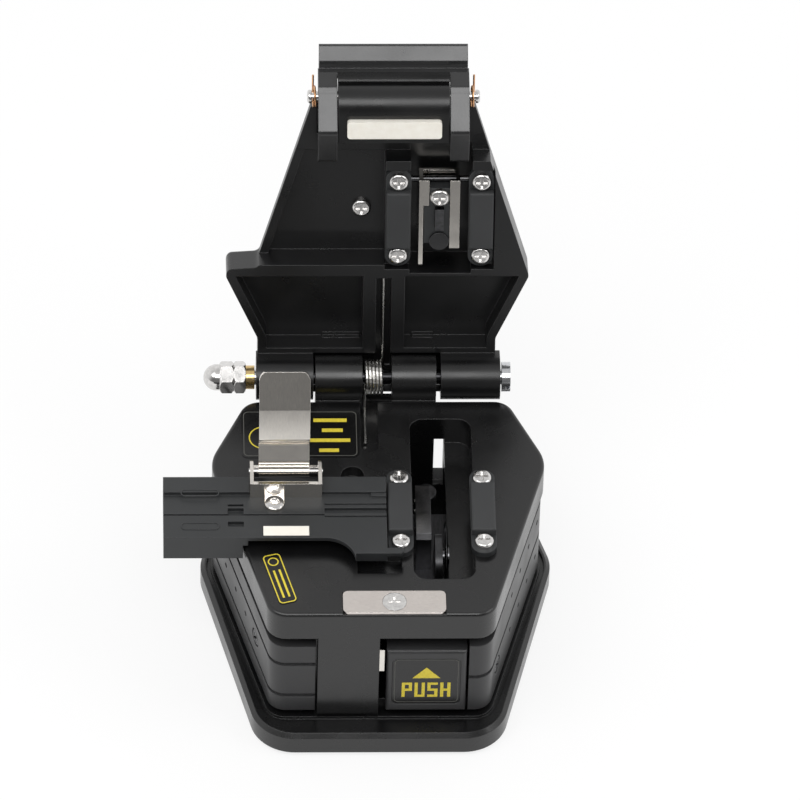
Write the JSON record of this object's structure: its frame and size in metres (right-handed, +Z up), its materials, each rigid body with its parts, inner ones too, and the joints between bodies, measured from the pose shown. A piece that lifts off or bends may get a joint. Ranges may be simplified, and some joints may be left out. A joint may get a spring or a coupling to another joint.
{
  "type": "fibre cleaver",
  "caption": "Bench tool that scores and snaps optical fibre: six-sided body on a pedestal, pushed blade carriage, fibre guide with clip, and sprung hinged lid with an anvil arm.",
  "frame": {"origin": "middle of the rubber sole's underside, where the tool stands", "axes": "+Z up, -Y towards the user and the push button, +X to the user's right; the lid stands open"},
  "size_m": [0.0752, 0.0951, 0.0985],
  "materials": {
    "black_casting": "satin black powder coat",
    "black_cover": "satin black",
    "black_moulding": "matt black moulding",
    "black_rubber": "matt black rubber",
    "bright_steel": "bright nickel-plated sheet",
    "zinc_steel": "zinc-plated",
    "spring_steel": "drawn wire",
    "brass": "bright brass",
    "bright_magnet": "nickel-plated magnet",
    "dark_steel": "hard tool steel",
    "grey_aluminium": "milled"
  },
  "bodies": {
    "base": {"foot_pad": "black_rubber", "base_plate": "black_casting", "base_screws": "zinc_steel", "main_body": "black_casting", "left_side_cover": "black_cover", "right_side_cover": "black_cover", "cover_screws": "zinc_steel", "strike_plate": "bright_steel", "strike_plate_screw": "zinc_steel", "base_pad_holder_left": "black_moulding", "base_pad_holder_right": "black_moulding", "base_rubber_left": "black_rubber", "base_rubber_right": "black_rubber", "base_pad_screws": "zinc_steel", "fibre_guide": "black_moulding", "guide_magnet": "bright_magnet", "clip_bracket": "bright_steel", "bracket_screw": "zinc_steel", "clip_pin": "bright_steel", "hinge_bolt": "zinc_steel", "brass_bush": "brass", "hex_nut": "zinc_steel", "acorn_nut": "zinc_steel", "lid_spring": "spring_steel", "slide_rail": "bright_steel", "return_spring": "spring_steel"},
    "slider": {"push_button": "black_cover", "carriage": "grey_aluminium", "blade_axle": "zinc_steel", "ramp_bar": "dark_steel", "ramp_roller": "bright_steel"},
    "blade": {"blade_wheel": "dark_steel"},
    "clip": {"clip_leaf": "bright_steel"},
    "lid": {"lid_shell": "black_casting", "lid_pad_holder_left": "black_moulding", "lid_pad_holder_right": "black_moulding", "lid_rubber_left": "black_rubber", "lid_rubber_right": "black_rubber", "lid_pad_screws": "zinc_steel", "lid_magnet": "bright_magnet", "panel_screw": "zinc_steel", "lever_pivot_screws": "zinc_steel", "lever_spring_left": "brass", "lever_spring_right": "brass", "anvil_pin": "bright_steel"},
    "lever": {"release_lever": "black_cover"},
    "anvil": {"anvil_bracket": "bright_steel", "anvil_block": "black_moulding", "anvil_tip": "dark_steel", "anvil_screw": "zinc_steel", "anvil_roller": "zinc_steel"}
  },
  "joints": [
    {"name": "lid_swing", "type": "hinge", "parent": "base", "child": "lid", "pos_m": [0, 0.03005, 0.0373], "axis": [1, 0, 0], "range_deg": [0, 106.3], "deforming": ["lid_spring"]},
    {"name": "clip_flip", "type": "hinge", "parent": "base", "child": "clip", "pos_m": [0, 0.0019, 0.0414], "axis": [1, 0, 0], "range_deg": [0, 106.3]},
    {"name": "push_slide", "type": "slide", "parent": "base", "child": "slider", "axis": [0, 1, 0], "range_m": [0, 0.014], "stiffness_N_per_m": 60, "springref_m": -0.004, "deforming": ["return_spring"]},
    {"name": "blade_turn", "type": "hinge", "parent": "slider", "child": "blade", "pos_m": [0.01245, -0.0108, 0.03115], "axis": [1, 0, 0], "continuous": true},
    {"name": "release_lever", "type": "hinge", "parent": "lid", "child": "lever", "pos_m": [0, 0.05228, 0.09196], "axis": [1, 0, 0], "range_deg": [-14, 0], "stiffness_Nm_per_rad": 0.01, "springref_deg": 17.19},
    {"name": "anvil_swing", "type": "hinge", "parent": "lid", "child": "anvil", "pos_m": [0, 0.0469, 0.07498], "axis": [1, 0, 0], "range_deg": [-3, 4], "stiffness_Nm_per_rad": 0.01}
  ],
  "couplings": [
    {"joint": "clip_flip", "follows": "lid_swing", "ratio": 1}
  ]
}
